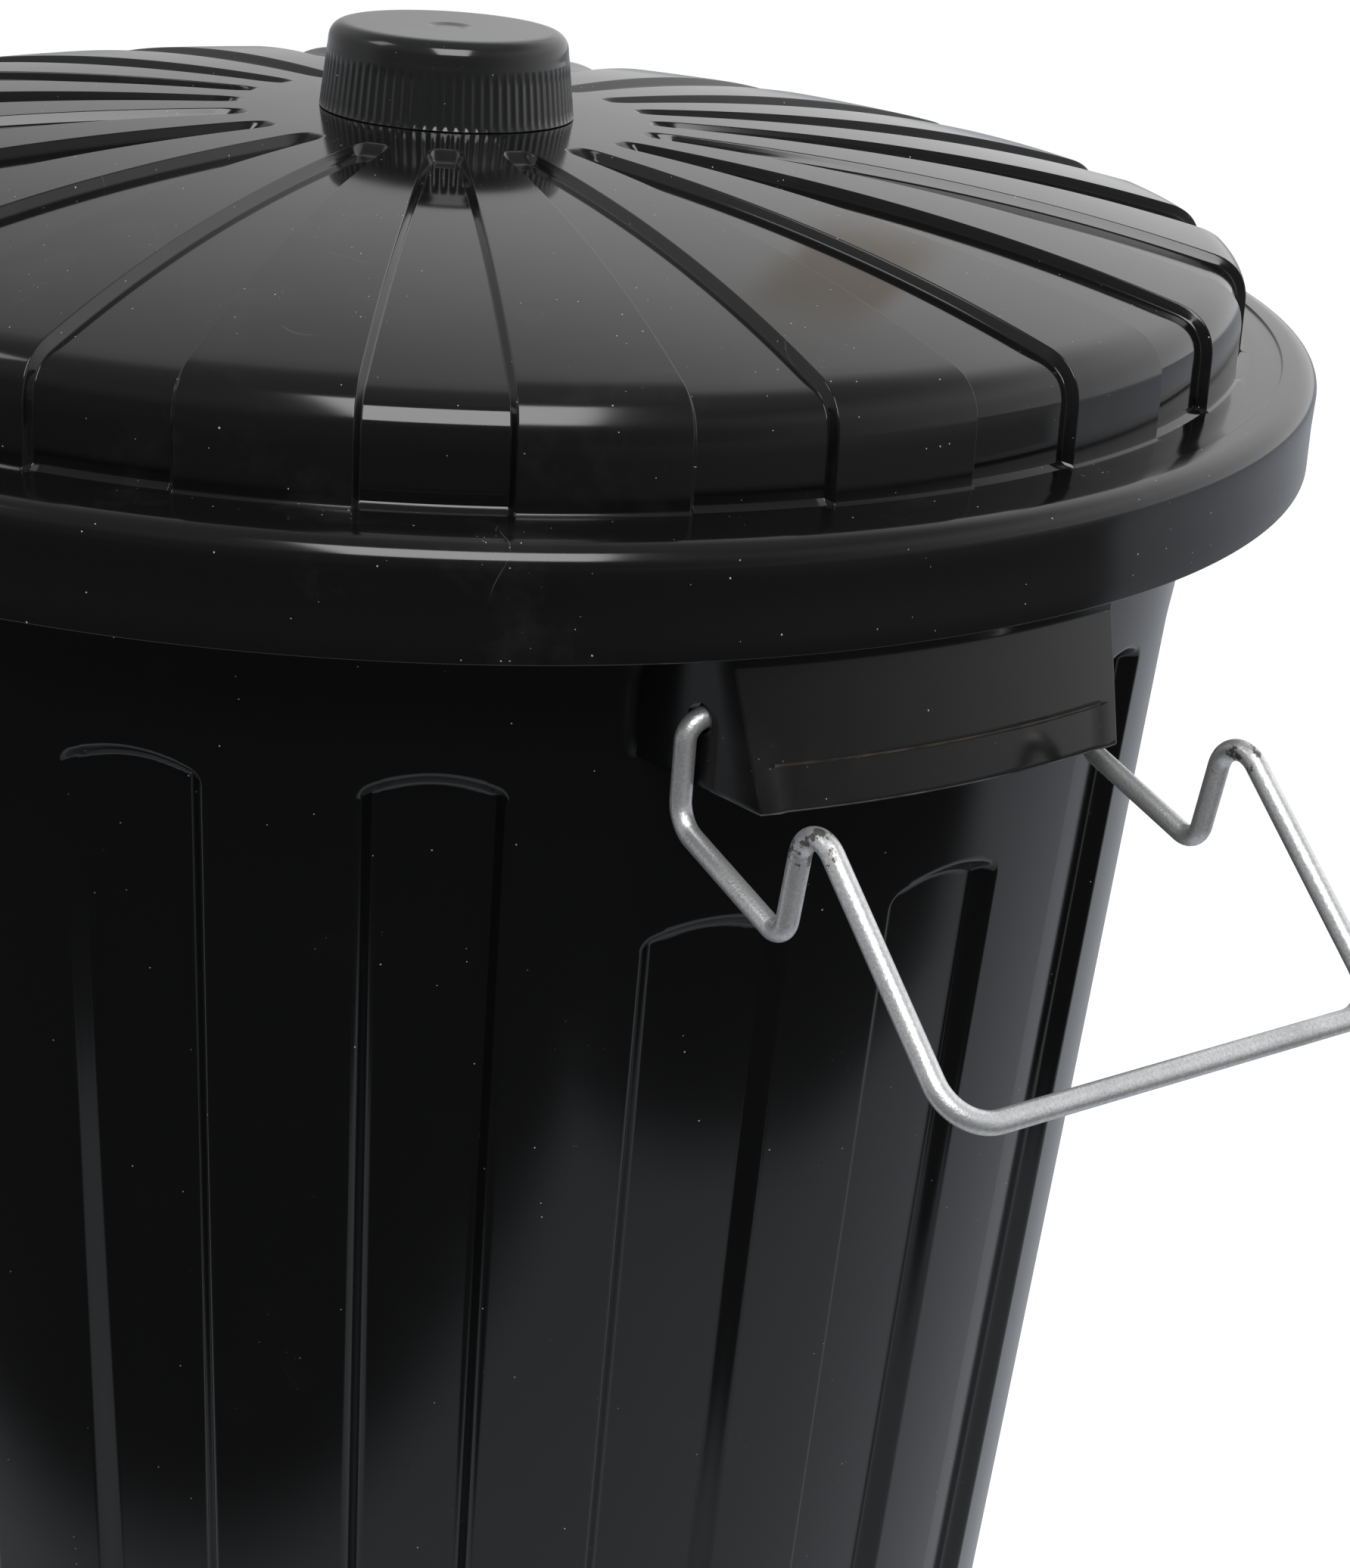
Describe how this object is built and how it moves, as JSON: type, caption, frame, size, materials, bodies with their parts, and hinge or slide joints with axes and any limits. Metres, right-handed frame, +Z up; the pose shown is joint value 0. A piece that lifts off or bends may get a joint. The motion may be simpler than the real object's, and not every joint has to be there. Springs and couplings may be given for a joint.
{
  "type": "dustbin with locking lid",
  "caption": "Round fluted plastic dustbin with a domed ribbed lid, a ribbed knob and two swinging wire handles that hook over the lid.",
  "frame": {"origin": "on the floor, in the middle of the bin's base", "axes": "+Z up along the bin's axis; the two wire handles stand on +X and -X"},
  "size_m": [0.6728, 0.5, 0.6668],
  "materials": {
    "bin_body": "black moulded polypropylene, glossy",
    "lid": "black moulded polypropylene, glossy, lightly dusty",
    "lid_knob": "black moulded polypropylene, satin sides and glossy top",
    "handle_right": "zinc plated steel wire, satin",
    "handle_left": "zinc plated steel wire, satin"
  },
  "bodies": {
    "bin": {"bin_body": "bin_body"},
    "lid": {"lid": "lid", "lid_knob": "lid_knob"},
    "handle_right": {"handle_right": "handle_right"},
    "handle_left": {"handle_left": "handle_left"}
  },
  "joints": [
    {"name": "lid_lift", "type": "slide", "parent": "bin", "child": "lid", "axis": [0, 0, 1], "range_m": [0, 0.3]},
    {"name": "handle_right_pivot", "type": "hinge", "parent": "bin", "child": "handle_right", "pos_m": [0.2307, 0, 0.5568], "axis": [0, -1, 0], "range_deg": [-10, 102]},
    {"name": "handle_left_pivot", "type": "hinge", "parent": "bin", "child": "handle_left", "pos_m": [-0.2307, 0, 0.5568], "axis": [0, 1, 0], "range_deg": [-10, 102]}
  ]
}
